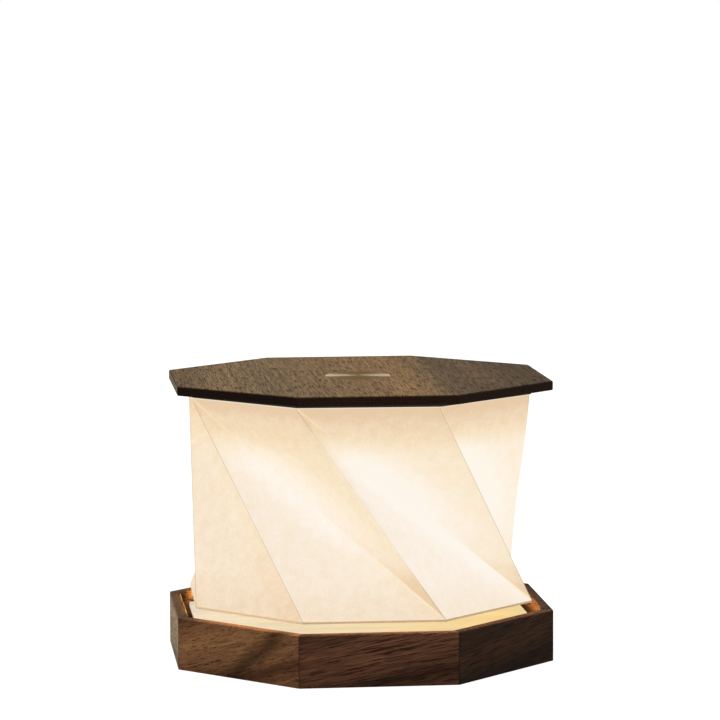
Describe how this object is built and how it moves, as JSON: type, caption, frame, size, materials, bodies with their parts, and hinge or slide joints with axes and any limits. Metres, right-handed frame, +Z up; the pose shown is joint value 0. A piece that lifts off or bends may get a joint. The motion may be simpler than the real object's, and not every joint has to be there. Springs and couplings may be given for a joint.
{
  "type": "folding lamp",
  "caption": "Octagonal table lamp: a walnut tray and lid joined by a pleated paper shade that folds flat as the lid is pushed down with a twist.",
  "frame": {"origin": "middle of the felt underside, on the table", "axes": "+Z up, -Y to the front board of the tray, +Y to the board with the charge opening"},
  "size_m": [0.1848, 0.1848, 0.1388],
  "materials": {
    "walnut_board": "oiled, each board with its own grain",
    "walnut_lid": "oiled",
    "dark_liner": "dark stained",
    "birch_ply": "raw",
    "wool_felt": "matt",
    "cream_enamel": "satin",
    "turned_aluminium": "turned",
    "zinc_steel": "zinc plated",
    "white_nylon": "moulded",
    "white_board": "white solder mask",
    "phosphor": "cast",
    "opal_plastic": "opal",
    "black_rubber": "matt",
    "frosted_plate": "frosted",
    "black_foam": "open cell",
    "cell_wrap": "shrink wrap",
    "board_green": "solder mask",
    "component_black": "moulded",
    "nickel_magnet": "nickel plated",
    "spun_brass": "spun",
    "folded_paper": "fibrous, lit from inside",
    "copper_foil": "bare copper"
  },
  "bodies": {
    "base": {"tray_wall_front": "walnut_board", "tray_wall_front_right": "walnut_board", "tray_wall_right": "walnut_board", "tray_wall_back_right": "walnut_board", "tray_wall_back": "walnut_board", "tray_wall_back_left": "walnut_board", "tray_wall_left": "walnut_board", "tray_wall_front_left": "walnut_board", "floor_panel": "birch_ply", "felt_pad": "wool_felt", "deck_plate": "cream_enamel", "deck_posts": "turned_aluminium", "floor_screws": "zinc_steel", "cup_screws": "zinc_steel", "usb_socket": "zinc_steel", "light_cup": "white_nylon", "lift_guide": "white_nylon", "guide_cap": "white_nylon", "board_standoffs": "white_nylon", "led_board": "white_board", "led_chips": "phosphor", "light_diffuser": "opal_plastic", "grip_ring": "black_rubber", "battery_pad": "black_foam", "battery_cell": "cell_wrap", "control_board": "board_green", "board_components": "component_black", "deck_magnets": "nickel_magnet"},
    "carrier": {"shade_plate": "frosted_plate", "lift_plunger": "white_nylon", "hub_screw": "zinc_steel"},
    "shade": {"paper_shade": "folded_paper", "touch_lead": "copper_foil"},
    "lid": {"lid_panel": "walnut_lid", "lid_liner": "dark_liner", "touch_disc": "spun_brass", "touch_pad": "board_green", "lid_magnets": "nickel_magnet"}
  },
  "joints": [
    {"name": "lid_twist", "type": "hinge", "parent": "base", "child": "shade", "pos_m": [0, 0, 0], "axis": [0, 0, 1], "range_deg": [-45, 0]},
    {"name": "lid_lift", "type": "slide", "parent": "shade", "child": "lid", "axis": [0, 0, 1], "range_m": [-0.1084, 0], "deforming": ["paper_shade", "touch_lead"]},
    {"name": "carrier_lift", "type": "slide", "parent": "base", "child": "carrier", "axis": [0, 0, 1], "range_m": [-0.0083, 0]}
  ],
  "couplings": [
    {"joint": "lid_twist", "follows": "lid_lift", "rad_per_m": 7.2454},
    {"joint": "carrier_lift", "follows": "lid_lift", "ratio": 0.076568}
  ]
}
